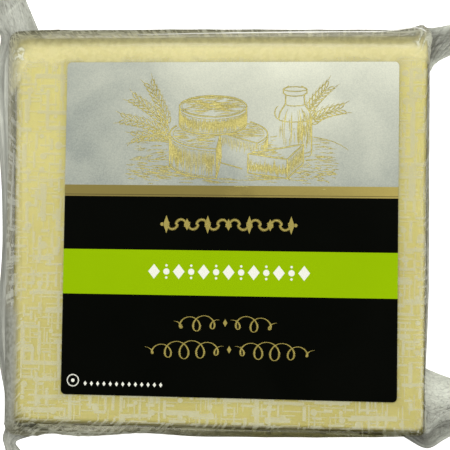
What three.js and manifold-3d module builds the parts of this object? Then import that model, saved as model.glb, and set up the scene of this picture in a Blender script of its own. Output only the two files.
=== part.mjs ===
// Vacuum pack of mild cheddar: a square slab of cheese sealed in clear film, with a flat label.
// It lies on its back, label up. x runs to the label's right, y to its top, z up from the table.
// The origin is the middle of the slab's underside, and every size is in millimetres.

import * as THREE from 'three';
import { mergeVertices } from 'three/addons/utils/BufferGeometryUtils.js';
import Module from 'manifold-3d';

// Label
const labelWidth = 85;
const labelHeight = 85.4;
const labelThickness = 0.2;
const labelCorner = 1.6;
const labelCentre = [3, 1.7];
const labelGap = 0.3; // between the label's back and the film

// Slab in its film, from the table up
const packHeight = 35.7;
const shoulderHeight = 27; // above this the sides round in to the face
const footHeight = 5; // below this they round in to the underside
// Corners in order bottom left, bottom right, top right, top left, each [x, y]
const faceCorners = [[-51.7, -48.9], [51.5, -47.6], [52.6, 49.4], [-52.4, 47.2]];
const girthCorners = [[-56.2, -53.2], [53.6, -50.8], [54, 54.6], [-57.2, 54.5]];
const baseCorners = [[-52.5, -49.5], [50, -47.5], [51, 51.6], [-53.5, 51.4]];
const faceRounding = 3;
const girthRounding = 5;
const baseRounding = 8;
// The film waves in and out round the sides: waves in a full turn, lean with height, and depth
const ripples = [{ count: 9, lean: 0.12, depth: 0.18 }, { count: 17, lean: -0.2, depth: 0.11 }];

// Film tails and ears
const tailThickness = 0.9;
const pleatDepth = 0.55;
const pleatDrift = 5; // how far a pleat's phase moves from one end of a rail to the other
const pleatEndDepth = 0.25; // share of the depth left at a rail's ends
const pleatRise = 6; // how soon the full depth is reached from there
const curveNudge = 0.01; // share of a rail over which its direction is read

// Mesh steps
const cornerSteps = 5;
const sideSteps = 12;
const roundSteps = 5;
const wallSteps = 3;

// Each tail or ear is a sheet of film across a few rails, which are lines of points [x, y, z].
// The left tail hangs from the seal, with a flap past the top corner and a strip past the bottom.
const leftTail = {
  rails: [
    [
      [-54.6, -67, 12], [-56.2, -60.2, 13], [-57, -57.6, 14], [-53.2, -55.4, 16], [-50.5, -45, 19],
      [-52, -25, 21], [-52.5, 0, 21], [-52.5, 25, 21], [-52, 44, 20], [-50.6, 53.2, 18],
      [-52.3, 57.1, 18], [-56.2, 65.8, 18], [-59, 72.5, 18],
    ],
    [
      [-57.3, -67, 13], [-58.6, -60.2, 14.5], [-59, -57.2, 15.5], [-58, -52.5, 17], [-58.6, -45, 17],
      [-60, -27, 18], [-59.6, 0, 18], [-60, 25, 18], [-60.6, 44, 19], [-58, 53.2, 20],
      [-59.5, 58, 20.5], [-62, 66, 20], [-63.5, 72.5, 19],
    ],
    [
      [-60, -67, 12], [-60.9, -60.2, 12.5], [-61.9, -56.4, 12], [-60.4, -51, 12], [-62, -45, 10.5],
      [-65, -28, 9.5], [-63.6, -5, 9.5], [-64.7, 20, 10], [-67, 44, 13], [-63.3, 55, 17.5],
      [-66.5, 59.5, 17.5], [-68.5, 66, 17], [-68.5, 72.5, 16],
    ],
  ],
  pleats: 3,
  steps: [60, 9],
};
// The right tail is folded down against the side and shows only as a low skirt
const rightTail = {
  rails: [
    [[49, -44, 21], [49, -20, 21], [49, 10, 21], [49, 47, 21]],
    [[54, -44, 19], [54.5, -20, 19], [54.6, 10, 19], [54.5, 47, 19]],
    [[54.1, -43, 8], [54.9, -20, 7], [55, 10, 7], [54.9, 46, 8]],
  ],
  pleats: 2,
  steps: [22, 6],
};
// The ears stand out past the right corners, where the ends of that tail spring back
const topRightEar = {
  rails: [
    [
      [50, 43, 19], [54.6, 44.6, 19], [57.9, 47.8, 19],
      [60.6, 49.4, 19], [65.5, 51.2, 18.5], [70.5, 52.6, 18],
    ],
    [
      [50, 48, 23], [54.8, 50.4, 23], [58, 51.6, 22.5],
      [61, 52.8, 22], [65.8, 54.6, 21], [70.8, 56.2, 20],
    ],
    [
      [46, 53, 23], [53, 57, 21], [57.2, 57.4, 20],
      [60.6, 58, 20], [65.8, 59.6, 19], [71, 61.4, 18],
    ],
  ],
  pleats: 4,
  steps: [16, 15],
};
const bottomRightEar = {
  rails: [
    [
      [44, -49.4, 15], [49, -53, 14], [56, -56.5, 14],
      [61.6, -53, 14.5], [66.5, -49.6, 15], [71, -46.8, 16],
    ],
    [
      [49, -46.5, 22], [52.6, -49.6, 22], [55.4, -51, 21.5],
      [60.8, -47.8, 21], [66, -45.6, 20], [71, -43.8, 19],
    ],
    [
      [50, -40, 22], [53, -41.5, 22], [56.5, -42.4, 21.5],
      [61, -42.2, 21], [66, -41.4, 20], [71, -40.4, 19],
    ],
    [
      [50, -32.6, 19], [54, -33.8, 19], [57, -35.1, 19],
      [61.2, -36.5, 19], [66, -37.6, 18.5], [71, -38.4, 18],
    ],
  ],
  pleats: 4,
  steps: [16, 16],
};

const wasm = await Module();
wasm.setup();

// Points round four corners, each rounded off over a given length, in the same order every time
function roundedOutline(corners, rounding) {
  const points = [];
  corners.forEach(([x, y], i) => {
    const corner = new THREE.Vector2(x, y);
    const before = new THREE.Vector2(...corners[(i + 3) % 4]);
    const after = new THREE.Vector2(...corners[(i + 1) % 4]);
    const start = corner.clone().add(before.sub(corner).setLength(rounding));
    const end = corner.clone().add(after.clone().sub(corner).setLength(rounding));
    const bend = new THREE.QuadraticBezierCurve(start, corner, end);
    for (let k = 0; k < cornerSteps; k++) points.push(bend.getPoint(k / cornerSteps));
    const sideEnd = after.clone().add(corner.clone().sub(after).setLength(rounding));
    for (let k = 0; k < sideSteps; k++) points.push(end.clone().lerp(sideEnd, k / sideSteps));
  });
  return points;
}

// The outline part of the way from one to another, waved a little where the film stands off
function blendedOutline(from, to, share, height) {
  return from.map((point, i) => {
    const turn = (i / from.length) * Math.PI * 2;
    const wave = ripples.reduce(
      (sum, { count, lean, depth }) => sum + depth * Math.sin(count * turn + height * lean), 0);
    const blended = point.clone().lerp(to[i], share);
    return blended.multiplyScalar(1 + (wave * share) / blended.length());
  });
}

// A closed body through a stack of outlines, with a flat cap at each end
function stackedBody(outlines) {
  const count = outlines[0].points.length;
  const positions = [];
  const triangles = [];
  outlines.forEach(({ points, height }) => points.forEach((p) => positions.push(p.x, p.y, height)));
  for (let ring = 0; ring + 1 < outlines.length; ring++) {
    for (let i = 0; i < count; i++) {
      const a = ring * count + i;
      const b = ring * count + ((i + 1) % count);
      triangles.push(a, b, b + count, a, b + count, a + count);
    }
  }
  const bottomCentre = positions.length / 3;
  positions.push(0, 0, outlines[0].height);
  const topCentre = bottomCentre + 1;
  positions.push(0, 0, outlines.at(-1).height);
  const lastRing = (outlines.length - 1) * count;
  for (let i = 0; i < count; i++) {
    const next = (i + 1) % count;
    triangles.push(bottomCentre, next, i, topCentre, lastRing + i, lastRing + next);
  }
  return bodyGeometry(positions, triangles);
}

function bodyGeometry(positions, triangles) {
  const geometry = new THREE.BufferGeometry();
  geometry.setAttribute('position', new THREE.Float32BufferAttribute(positions, 3));
  geometry.setIndex(triangles);
  return geometry;
}

// The slab in its film: a rounded foot, steep sides and a rounded shoulder up to the flat face
function slabGeometry() {
  const face = roundedOutline(faceCorners, faceRounding);
  const girth = roundedOutline(girthCorners, girthRounding);
  const base = roundedOutline(baseCorners, baseRounding);
  const outlines = [];
  for (let k = 0; k <= roundSteps; k++) {
    const angle = (k / roundSteps) * (Math.PI / 2);
    const height = footHeight * (1 - Math.cos(angle));
    outlines.push({ points: blendedOutline(base, girth, Math.sin(angle), height), height });
  }
  for (let k = 1; k < wallSteps; k++) {
    const height = THREE.MathUtils.lerp(footHeight, shoulderHeight, k / wallSteps);
    outlines.push({ points: blendedOutline(base, girth, 1, height), height });
  }
  for (let k = 0; k <= roundSteps; k++) {
    const angle = (k / roundSteps) * (Math.PI / 2);
    const height = shoulderHeight + (packHeight - shoulderHeight) * Math.sin(angle);
    outlines.push({ points: blendedOutline(face, girth, Math.cos(angle), height), height });
  }
  return stackedBody(outlines);
}

// A thin closed sheet across its rails, with pleats that run along them and die out at its edges
function filmGeometry({ rails, pleats, steps: [along, across] }) {
  const curves = rails.map((rail) => new THREE.CatmullRomCurve3(rail.map((p) => new THREE.Vector3(...p))));
  const middle = (t, w) => new THREE.CatmullRomCurve3(curves.map((curve) => curve.getPoint(t))).getPoint(w);
  const upper = (share) => Math.min(share + curveNudge, 1);
  const lower = (share) => Math.max(share - curveNudge, 0);
  const normal = (t, w) => {
    const alongStep = middle(upper(t), w).sub(middle(lower(t), w));
    const acrossStep = middle(t, upper(w)).sub(middle(t, lower(w)));
    return alongStep.cross(acrossStep).normalize();
  };
  const positions = [];
  for (const side of [1, -1]) {
    for (let i = 0; i <= along; i++) {
      for (let j = 0; j <= across; j++) {
        const [t, w] = [i / along, j / across];
        const rise = Math.min(1, pleatEndDepth + t * (1 - t) * pleatRise);
        const fade = Math.sqrt(Math.sin(Math.PI * w)) * rise;
        const pleat = pleatDepth * fade * Math.sin(Math.PI * 2 * pleats * w + pleatDrift * t);
        const point = middle(t, w).addScaledVector(normal(t, w), pleat + (side * tailThickness) / 2);
        positions.push(point.x, point.y, point.z);
      }
    }
  }
  const row = across + 1;
  const back = (along + 1) * row;
  const triangles = [];
  const quad = (a, b, c, d) => triangles.push(a, b, c, a, c, d);
  for (let i = 0; i < along; i++) {
    for (let j = 0; j < across; j++) {
      const a = i * row + j;
      quad(a, a + row, a + row + 1, a + 1);
      triangles.push(back + a, back + a + row + 1, back + a + row);
      triangles.push(back + a, back + a + 1, back + a + row + 1);
    }
    const left = i * row;
    const right = left + across;
    quad(left, back + left, back + left + row, left + row);
    quad(right + row, back + right + row, back + right, right);
  }
  for (let j = 0; j < across; j++) {
    const far = along * row + j;
    quad(j + 1, back + j + 1, back + j, j);
    quad(far, back + far, back + far + 1, far + 1);
  }
  return bodyGeometry(positions, triangles);
}

function toManifold(geometry) {
  const merged = mergeVertices(geometry);
  return new wasm.Manifold(new wasm.Mesh({
    numProp: 3,
    vertProperties: new Float32Array(merged.attributes.position.array),
    triVerts: new Uint32Array(merged.index.array),
  }));
}

function toGeometry(solid) {
  const mesh = solid.getMesh();
  return bodyGeometry(Array.from(mesh.vertProperties), Array.from(mesh.triVerts));
}

// The sealed bag is one body: the film round the slab with its tails and ears
function sealedBag() {
  let bag = toManifold(slabGeometry());
  for (const film of [leftTail, rightTail, topRightEar, bottomRightEar]) {
    bag = bag.add(toManifold(filmGeometry(film)));
  }
  const material = new THREE.MeshStandardMaterial({ color: 0xd6cf8a, roughness: 0.25, metalness: 0 });
  const mesh = new THREE.Mesh(toGeometry(bag), material);
  mesh.name = 'sealed_bag';
  return mesh;
}

// The label is a flat plate with rounded corners, just above the film
function label() {
  const [halfWidth, halfHeight] = [labelWidth / 2, labelHeight / 2];
  const outline = new THREE.Shape();
  outline.moveTo(-halfWidth + labelCorner, -halfHeight);
  outline.lineTo(halfWidth - labelCorner, -halfHeight);
  outline.absarc(halfWidth - labelCorner, -halfHeight + labelCorner, labelCorner, -Math.PI / 2, 0);
  outline.lineTo(halfWidth, halfHeight - labelCorner);
  outline.absarc(halfWidth - labelCorner, halfHeight - labelCorner, labelCorner, 0, Math.PI / 2);
  outline.lineTo(-halfWidth + labelCorner, halfHeight);
  outline.absarc(-halfWidth + labelCorner, halfHeight - labelCorner, labelCorner, Math.PI / 2, Math.PI);
  outline.lineTo(-halfWidth, -halfHeight + labelCorner);
  outline.absarc(-halfWidth + labelCorner, -halfHeight + labelCorner, labelCorner, Math.PI, Math.PI * 1.5);
  const plate = { depth: labelThickness, bevelEnabled: false, curveSegments: 6 };
  const material = new THREE.MeshStandardMaterial({ color: 0x14150f, roughness: 0.4, metalness: 0 });
  const mesh = new THREE.Mesh(new THREE.ExtrudeGeometry(outline, plate), material);
  mesh.position.set(...labelCentre, packHeight + labelGap);
  mesh.name = 'label';
  return mesh;
}

const pack = new THREE.Group();
pack.add(sealedBag(), label());
export default pack;
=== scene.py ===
import math

import bpy
import numpy as np
from mathutils import Matrix, Vector


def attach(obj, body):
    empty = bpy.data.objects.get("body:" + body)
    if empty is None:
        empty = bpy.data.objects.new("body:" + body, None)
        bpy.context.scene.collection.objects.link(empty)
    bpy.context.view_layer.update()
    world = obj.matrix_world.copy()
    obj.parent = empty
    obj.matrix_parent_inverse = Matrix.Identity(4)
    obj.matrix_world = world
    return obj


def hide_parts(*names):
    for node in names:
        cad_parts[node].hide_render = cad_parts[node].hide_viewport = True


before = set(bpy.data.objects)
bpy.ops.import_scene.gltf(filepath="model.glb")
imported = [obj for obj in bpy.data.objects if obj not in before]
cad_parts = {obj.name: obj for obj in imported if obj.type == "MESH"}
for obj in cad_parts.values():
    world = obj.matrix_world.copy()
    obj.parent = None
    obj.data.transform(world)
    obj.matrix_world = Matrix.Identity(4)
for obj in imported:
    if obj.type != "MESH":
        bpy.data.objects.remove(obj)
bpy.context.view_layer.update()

mm = 0.001  # sizes below are in millimetres, and Blender works in metres

print("stage: frame loaded")


# General help

def linear(hexColour):
    # an sRGB hex value as the linear colour that Blender's sockets take
    channels = [int(hexColour[i:i + 2], 16) / 255 for i in (1, 3, 5)]
    return tuple(c / 12.92 if c <= 0.04045 else ((c + 0.055) / 1.055) ** 2.4 for c in channels) + (1.0,)


def addNode(tree, kind, inputs=None, **settings):
    # one shader node, with its settings, its values and its links; a value in quotes is an sRGB colour
    node = tree.nodes.new(kind)
    for name, value in settings.items():
        setattr(node, name, value)
    for name, value in (inputs or {}).items():
        if isinstance(value, bpy.types.NodeSocket):
            tree.links.new(value, node.inputs[name])
        else:
            node.inputs[name].default_value = linear(value) if isinstance(value, str) else value
    return node


def reckon(tree, operation, *values, **settings):
    # one step of arithmetic on shader values
    node = addNode(tree, "ShaderNodeMath", dict(enumerate(values)), operation=operation, **settings)
    return node.outputs[0]


def times(tree, *values):
    return reckon(tree, "MULTIPLY", *values)


def timesPlus(tree, *values):
    # the first times the second, plus the third
    return reckon(tree, "MULTIPLY_ADD", *values)


def larger(tree, *values):
    return reckon(tree, "MAXIMUM", *values)


def restOf(tree, value):
    return reckon(tree, "SUBTRACT", 1.0, value)


def ramp(tree, value, start=0.0, end=1.0, low=0.0, high=1.0):
    # low where the value is at its start, high at its end, and level beyond them
    return addNode(tree, "ShaderNodeMapRange", {
        "Value": value, "From Min": start, "From Max": end, "To Min": low, "To Max": high}).outputs[0]


def blend(tree, share, first, second, way="MIX"):
    return addNode(tree, "ShaderNodeMix", {0: share, 6: first, 7: second}, data_type="RGBA",
                   blend_type=way).outputs[2]


def noise(tree, place, scale, detail, roughness=0.5, distortion=0.0):
    return addNode(tree, "ShaderNodeTexNoise", {
        "Vector": place, "Scale": scale, "Detail": detail, "Roughness": roughness,
        "Distortion": distortion}).outputs


def bumpOf(tree, height, strength, distance):
    return addNode(tree, "ShaderNodeBump", {
        "Height": height, "Strength": strength, "Distance": distance}).outputs[0]


def objectPlace(tree):
    # a point's place on the piece, in metres, and that place along each axis
    place = addNode(tree, "ShaderNodeTexCoord").outputs["Object"]
    return place, addNode(tree, "ShaderNodeSeparateXYZ", {0: place}).outputs


def filmPlace(tree):
    # a point's place on the film laid out flat, in millimetres
    flat = addNode(tree, "ShaderNodeUVMap", uv_map="filmMap").outputs[0]
    return addNode(tree, "ShaderNodeMapping", {"Vector": flat, "Scale": (1 / mm, 1 / mm, 1.0)}).outputs[0]


def mixShaders(tree, share, first, second):
    return addNode(tree, "ShaderNodeMixShader", {0: share, 1: first, 2: second}).outputs[0]


def setSurface(tree, surface):
    addNode(tree, "ShaderNodeOutputMaterial", {"Surface": surface})


def newMaterial(name):
    material = bpy.data.materials.new(name)
    material.use_nodes = True
    material.node_tree.nodes.clear()
    return material, material.node_tree


def clearSelection():
    if bpy.context.object and bpy.context.object.mode != "OBJECT":
        bpy.ops.object.mode_set(mode="OBJECT")
    bpy.ops.object.select_all(action="DESELECT")


def onlySelect(piece):
    clearSelection()
    piece.select_set(True)
    bpy.context.view_layer.objects.active = piece


def thicken(piece, thickness, side):
    # makes a sheet a closed body, laid on both its sides at 0 and outward at 1
    wall = piece.modifiers.new("thickness", "SOLIDIFY")
    wall.thickness = thickness * mm
    wall.offset = side
    onlySelect(piece)
    bpy.ops.object.modifier_apply(modifier=wall.name)


def tubes(name, lines, radius, roundness, material):
    # lines of places in metres, each place with its share of the radius, as closed tubes in one mesh
    clearSelection()
    data = bpy.data.curves.new(name, "CURVE")
    data.dimensions = "3D"
    data.bevel_depth = radius * mm
    data.bevel_resolution = roundness
    data.use_fill_caps = True
    for line in lines:
        spline = data.splines.new("POLY")
        spline.points.add(len(line) - 1)
        for point, (place, share) in zip(spline.points, line):
            point.co = (*place, 1)
            point.radius = share
    piece = bpy.data.objects.new(name, data)
    bpy.context.collection.objects.link(piece)
    onlySelect(piece)
    bpy.ops.object.convert(target="MESH")
    piece = bpy.context.object
    piece.data.materials.clear()
    piece.data.materials.append(material)
    return piece


def storeField(piece, name, values):
    stored = piece.data.attributes.new(name, "FLOAT", "POINT")
    stored.data.foreach_set("value", values.astype(np.float32))


def setPoints(piece, points):
    piece.data.vertices.foreach_set("co", (points * mm).astype(np.float32).ravel())
    piece.data.update()


def settle(piece, name, bodySlot, *replaced):
    # names a finished piece, puts its place in its mesh and ties it to the frame
    onlySelect(piece)
    bpy.ops.object.transform_apply(location=True, rotation=True, scale=True)
    piece.name = name
    piece.data.name = name
    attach(piece, "root")
    if replaced:
        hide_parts(*replaced)


def waves(u, v, count, seed):
    # a smooth uneven field between about -1 and 1, from sines in random directions
    draw = np.random.default_rng(seed)
    field = np.zeros_like(u)
    for _ in range(count):
        angle, size, phase = draw.uniform(0, math.tau), draw.uniform(0.5, 1.6), draw.uniform(0, math.tau)
        field += np.sin(size * (u * math.cos(angle) + v * math.sin(angle)) + phase)
    return field / math.sqrt(count)


def nearTo(x, y, px, py, reach):
    # 1 at one place and fading away round it
    return np.exp(-((x - px) ** 2 + (y - py) ** 2) / (2 * reach ** 2))


# Camera and light

view = {
    "place": (21.7, -7.45, 282.1),
    "aim": (2.0, 2.69, 36.0),
    "roll": 0.63,  # degrees, the pack stands a little turned in the frame
    "lens": 77.84,
}


def addCamera():
    data = bpy.data.cameras.new("camera")
    data.lens = view["lens"]
    data.sensor_width = 36
    data.clip_start = 0.01
    camera = bpy.data.objects.new("camera", data)
    bpy.context.collection.objects.link(camera)
    place, aim = Vector(view["place"]) * mm, Vector(view["aim"]) * mm
    back = (place - aim).normalized()
    roll = math.radians(view["roll"])
    right = Vector((math.cos(roll), math.sin(roll), 0)).cross(back).cross(back) * -1
    right.normalize()
    up = back.cross(right)
    turn = Matrix((right, up, back)).transposed()
    camera.matrix_world = Matrix.Translation(place) @ turn.to_4x4()
    bpy.context.scene.camera = camera


studio = {
    "world": ("#ffffff", 0.12),
    "lamps": {
        # place, what it points at, width and height in mm, and watts
        "top": ((30, 380, 690), (0, 0, 30), 420, 220, 2.92),
        "left": ((-490, 60, 610), (0, 0, 30), 240, 420, 1.68),
        "right": ((400, 0, 660), (0, 0, 30), 240, 420, 1.08),
        "front": ((-20, -400, 660), (0, 0, 30), 420, 220, 1.08),
        "lowRight": ((700, 0, 160), (0, 0, 20), 160, 400, 1.6),
        "lowLeft": ((-700, 0, 160), (0, 0, 20), 160, 400, 0.4),
        "lowFront": ((-60, -700, 160), (0, 0, 20), 400, 160, 0.75),
    },
    "floor": "#f6f6f4",
    "floorGlow": 0.75,
    "floorSize": 3000,
}


def addLights():
    world = bpy.data.worlds.new("studio")
    bpy.context.scene.world = world
    world.use_nodes = True
    world.node_tree.nodes.clear()
    colour, strength = studio["world"]
    glow = addNode(world.node_tree, "ShaderNodeBackground", {"Color": colour, "Strength": strength})
    addNode(world.node_tree, "ShaderNodeOutputWorld", {"Surface": glow.outputs[0]})
    for name, (place, aim, width, height, watts) in studio["lamps"].items():
        lamp = bpy.data.lights.new(name, "AREA")
        lamp.shape = "RECTANGLE"
        lamp.size, lamp.size_y, lamp.energy = width * mm, height * mm, watts
        holder = bpy.data.objects.new(name, lamp)
        bpy.context.collection.objects.link(holder)
        holder.location = Vector(place) * mm
        holder.rotation_euler = (Vector(place) - Vector(aim)).to_track_quat("Z", "Y").to_euler()
    bpy.context.scene.view_settings.view_transform = "Standard"


def addFloor():
    clearSelection()
    bpy.ops.mesh.primitive_grid_add(x_subdivisions=8, y_subdivisions=8, size=studio["floorSize"] * mm)
    floor = bpy.context.object
    floor.name = "studio_floor"
    material, tree = newMaterial("mattePaintedBoard")
    paint = addNode(tree, "ShaderNodeBsdfPrincipled", {
        "Base Color": studio["floor"], "Roughness": 0.9,
        "Emission Color": studio["floor"], "Emission Strength": studio["floorGlow"]})
    setSurface(tree, paint.outputs[0])
    floor.data.materials.append(material)
    floor.visible_diffuse = floor.visible_glossy = False  # it throws no light back on the pack


addCamera()
addLights()
addFloor()
print("stage: camera, lights and floor")


# The slab and the film round it are both stacks of rounded outlines on a sphere's net

cheese = {
    # corners go bottom left, bottom right, top right, top left
    "faceCorners": [(-49.4, -47.0), (51.4, -47.1), (51.8, 47.4), (-51.5, 48.0)],
    "girthCorners": [(-54.4, -49.9), (52.8, -50.3), (53.6, 52.6), (-54.9, 52.3)],
    "baseCorners": [(-52.4, -48.4), (51.0, -48.6), (51.6, 50.8), (-53.0, 50.4)],
    "faceRounding": [4.4, 1.6, 2.6, 5.2],
    "girthRounding": [2.6, 1.8, 2.4, 3.4],
    "baseRounding": [3.0, 3.0, 3.0, 3.0],
    "faceHeight": 35.6,
    "shoulderHeight": 28.5,
    "footHeight": 3.2,
    "lowest": 0.25,
    "shoulderCurve": 1.9,
    "cornerPoints": 16,
    "sidePoints": 56,
    "rings": {"cap": 30, "shoulder": 12, "wall": 18, "foot": 8},
    "tones": ("#c9bf66", "#d5cc7a"),
    # colour of the painted shade at the block's -y end
    "falloffShade": "#e8e6da",
}

film = {
    "faceCorners": [(-49.8, -47.4), (51.7, -47.5), (52.1, 47.75), (-51.9, 48.4)],
    "girthCorners": [(-56.2, -53.2), (54.0, -50.65), (54.0, 54.3), (-57.2, 54.8)],
    "baseCorners": [(-52.5, -49.5), (50.0, -47.5), (51.0, 51.6), (-53.5, 51.4)],
    "faceRounding": [4.6, 1.8, 2.8, 5.4],
    "girthRounding": [3.2, 2.6, 3.0, 3.6],
    "baseRounding": [5.0, 5.0, 5.0, 5.0],
    "faceHeight": 35.85,
    "shoulderHeight": 27.0,
    "footHeight": 4.5,
    "lowest": 0.05,
    "shoulderCurve": 2.1,
    "cornerPoints": 44,
    "sidePoints": 76,
    "rings": {"cap": 26, "shoulder": 30, "wall": 24, "foot": 10},
}


def outlineRing(corners, roundings, cornerPoints, sidePoints):
    # points round four corners, each rounded off over its own length
    ring = []
    for i in range(4):
        corner, before, after = (np.array(corners[(i + k) % 4], float) for k in (0, 3, 1))
        toBefore = (before - corner) / np.linalg.norm(before - corner)
        toAfter = (after - corner) / np.linalg.norm(after - corner)
        start, end = corner + toBefore * roundings[i], corner + toAfter * roundings[i]
        t = (np.arange(cornerPoints) / cornerPoints)[:, None]
        ring.append((1 - t) ** 2 * start + 2 * t * (1 - t) * corner + t ** 2 * end)
        t = (np.arange(sidePoints) / sidePoints)[:, None]
        ring.append(end + (after - toAfter * roundings[(i + 1) % 4] - end) * t)
    return np.concatenate(ring)


def stackedOutlines(shape):
    # rows of points from the middle of the face, over the edge and down to the middle of the underside
    sizes = shape["cornerPoints"], shape["sidePoints"]
    face = outlineRing(shape["faceCorners"], shape["faceRounding"], *sizes)
    girth = outlineRing(shape["girthCorners"], shape["girthRounding"], *sizes)
    base = outlineRing(shape["baseCorners"], shape["baseRounding"], *sizes)
    rings = shape["rings"]
    top, shoulder, foot, lowest = (
        shape[k] for k in ("faceHeight", "shoulderHeight", "footHeight", "lowest"))
    curve = shape["shoulderCurve"]
    rows, slack = [], []

    def addRow(outline, height, share):
        rows.append(np.column_stack([outline, np.full(len(outline), height)]))
        slack.append(share)

    for k in range(rings["cap"] + 1):
        addRow(face * (k / rings["cap"]), top, 0.0)
    for k in range(1, rings["shoulder"] + 1):
        angle = math.pi / 2 * k / rings["shoulder"]
        share, rise = math.sin(angle) ** (2 / curve), math.cos(angle) ** (2 / curve)
        addRow(face + (girth - face) * share, shoulder + (top - shoulder) * rise, share)
    for k in range(1, rings["wall"]):
        addRow(girth, shoulder + (foot - shoulder) * k / rings["wall"], 1.0)
    for k in range(rings["foot"] + 1):
        angle = math.pi / 2 * k / rings["foot"]
        share, drop = math.cos(angle), math.sin(angle)
        addRow(base + (girth - base) * share, foot + (lowest - foot) * drop, share)
    for k in range(rings["cap"] - 1, -1, -1):
        addRow(base * (k / rings["cap"]), lowest, 0.0)
    return np.array(rows), np.array(slack)


def sphereNet(rowCount, columnCount):
    # a sphere, and the row and column of each of its points counted from the top
    clearSelection()
    bpy.ops.mesh.primitive_uv_sphere_add(segments=columnCount, ring_count=rowCount - 1, radius=1)
    net = bpy.context.object
    points = np.array([v.co for v in net.data.vertices])
    row = np.rint(np.arccos(np.clip(points[:, 2], -1, 1)) / math.pi * (rowCount - 1)).astype(int)
    turn = np.arctan2(points[:, 1], points[:, 0]) / math.tau * columnCount
    column = np.rint(turn).astype(int) % columnCount
    return net, row, column


def rowNormals(rows):
    # outward normals of a stack of rows that goes round its columns
    along = np.gradient(rows, axis=0)
    sideways = np.roll(rows, -1, axis=1) - np.roll(rows, 1, axis=1)
    normals = np.cross(along, sideways)
    lengths = np.linalg.norm(normals, axis=2, keepdims=True)
    flat = np.zeros_like(normals)
    flat[..., 2] = np.where(np.arange(len(rows)) < len(rows) / 2, 1, -1)[:, None]
    return np.where(lengths > 1e-6, normals / np.maximum(lengths, 1e-6), flat)


# Cheddar: cut by wire, so flat but faintly uneven, with a fine curd grain, and a little waxy

def cheddarMaterial():
    material, tree = newMaterial("cheddarWireCut")
    place, axes = objectPlace(tree)
    # broad paler and deeper patches, 20 to 40 mm across, as the curd knits unevenly
    patches = noise(tree, place, 38.0, 4.0)[0]
    # curd grain of about 1.5 mm
    grain = noise(tree, place, 650.0, 3.0)[0]
    tone = ramp(tree, timesPlus(tree, grain, 0.25, patches), 0.45, 0.8)
    # painted shade: the block is painted deeper in colour towards its -y end, standing in for the light
    # falling off away from the top
    paintedFalloff = blend(tree, ramp(tree, axes[1], -0.05, 0.04), cheese["falloffShade"], "#ffffff")
    colour = blend(tree, 1.0, blend(tree, tone, *cheese["tones"]), paintedFalloff, "MULTIPLY")
    body = addNode(tree, "ShaderNodeBsdfPrincipled", {
        "Base Color": colour, "Roughness": 0.42, "IOR": 1.45, "Normal": bumpOf(tree, grain, 0.25, 0.0003),
        "Subsurface Weight": 0.25, "Subsurface Radius": (1.0, 0.75, 0.3), "Subsurface Scale": 0.002})
    setSurface(tree, body.outputs[0])
    return material


def makeCheese():
    rows, slack = stackedOutlines(cheese)
    normals = rowNormals(rows)
    x, y, z = rows[..., 0], rows[..., 1], rows[..., 2]
    # the press and the wire leave the faces very slightly uneven, least of all the one under the label
    swell = 0.10 * waves(x / 14, y / 14 + z / 9, 6, 11) + 0.04 * waves(x / 4, y / 4 + z / 3, 6, 12)
    onFace = slack[:, None] * np.ones_like(x) < 0.01
    rows = rows + normals * np.where(onFace, 0.5, 1.2)[..., None] * (swell - 0.12)[..., None]
    rows[..., 2] = np.maximum(rows[..., 2], cheese["lowest"] - 0.1)
    slab, row, column = sphereNet(*rows.shape[:2])
    setPoints(slab, rows[row, column])
    bpy.ops.object.shade_smooth()
    slab.data.materials.append(cheddarMaterial())
    settle(slab, "cheddar_slab", "cheese", "sealed_bag")


makeCheese()
print("stage: cheese")


# The label lies on the film, which carries painted shade beside it

label = {
    "width": 85.0, "height": 85.4, "corner": 1.15, "centre": (3.0, 1.7),
    "lowest": 35.92, "thickness": 0.12,
    # where each band ends, in mm up from the label's foot, and its ink
    "bands": [(25.7, "black"), (37.15, "lime"), (50.8, "black"), (51.15, "gold"), (51.35, "goldDark"),
              (53.7, "gold"), (90.0, "silver")],
}


# Vacuum film: a nylon and polythene laminate, glassy, slightly hazy, with a white thread print

threads = [
    # lane spacing, run length, thinnest and widest stroke in mm, share of runs drawn, seed
    {"lane": 1.3, "run": 7.0, "widths": (0.14, 0.55), "share": 0.55, "seed": 3.0},
    {"lane": 2.2, "run": 5.0, "widths": (0.4, 1.3), "share": 0.55, "seed": 7.0},
    {"lane": 4.3, "run": 12.0, "widths": (0.7, 1.9), "share": 0.55, "seed": 13.0},
]

printed = {
    "faceInk": 0.28,  # how much of the cheese the ink hides on the face
    "lowInk": 0.1,  # and how much more towards the foot of the pack, where it is also paler
    "slackInk": 0.8,  # and where the film stands off it
    "doubleInk": 0.16,  # how much more it hides where the film lies double
    "inkColour": "#cfd1c8",
    "lowInkColour": "#e2e4cf",
    "slackInkColour": "#e4e6d6",
    "doubleInkAndHighlightColour": "#f6efb8",
    "hazeColour": "#dedcc8",
    "plainColours": ("#8e8f81", "#b6b7ab"),
    "glintColour": "#dcddc6",
    "faceHaze": 0.03,
    "paintedShade": "#8f8b52",  # colour of the painted shade: what one pass through the turned film is made to leave of white light
    "labelStain": 0.13,  # share of that painted shade beside the label, where the film is pressed in
    "labelStainReach": 2.4,
    "foldLine": 44.3,  # above this the film lies double and its print runs together, and the strip is painted paler, a painted highlight for the light it catches
    "foldStarts": (1.6, 4.1),  # mm above it between which that comes in
    "foldWander": 6.0,
    "foldDrop": (-53.5, -50.0, 7.0),  # it drops at the left, between which x and by how much
}

filmSides = {
    # the way each side faces, how milky the film hangs there, and how much painted shade it takes as it
    # turns over
    "bottom": ((0, -1), 0.9, 0.72),
    "right": ((1, 0), 0.75, 0.04),
    "top": ((0, 1), 0.32, 0.44),
    "left": ((-1, 0), 0.6, 0.12),
}


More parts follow.
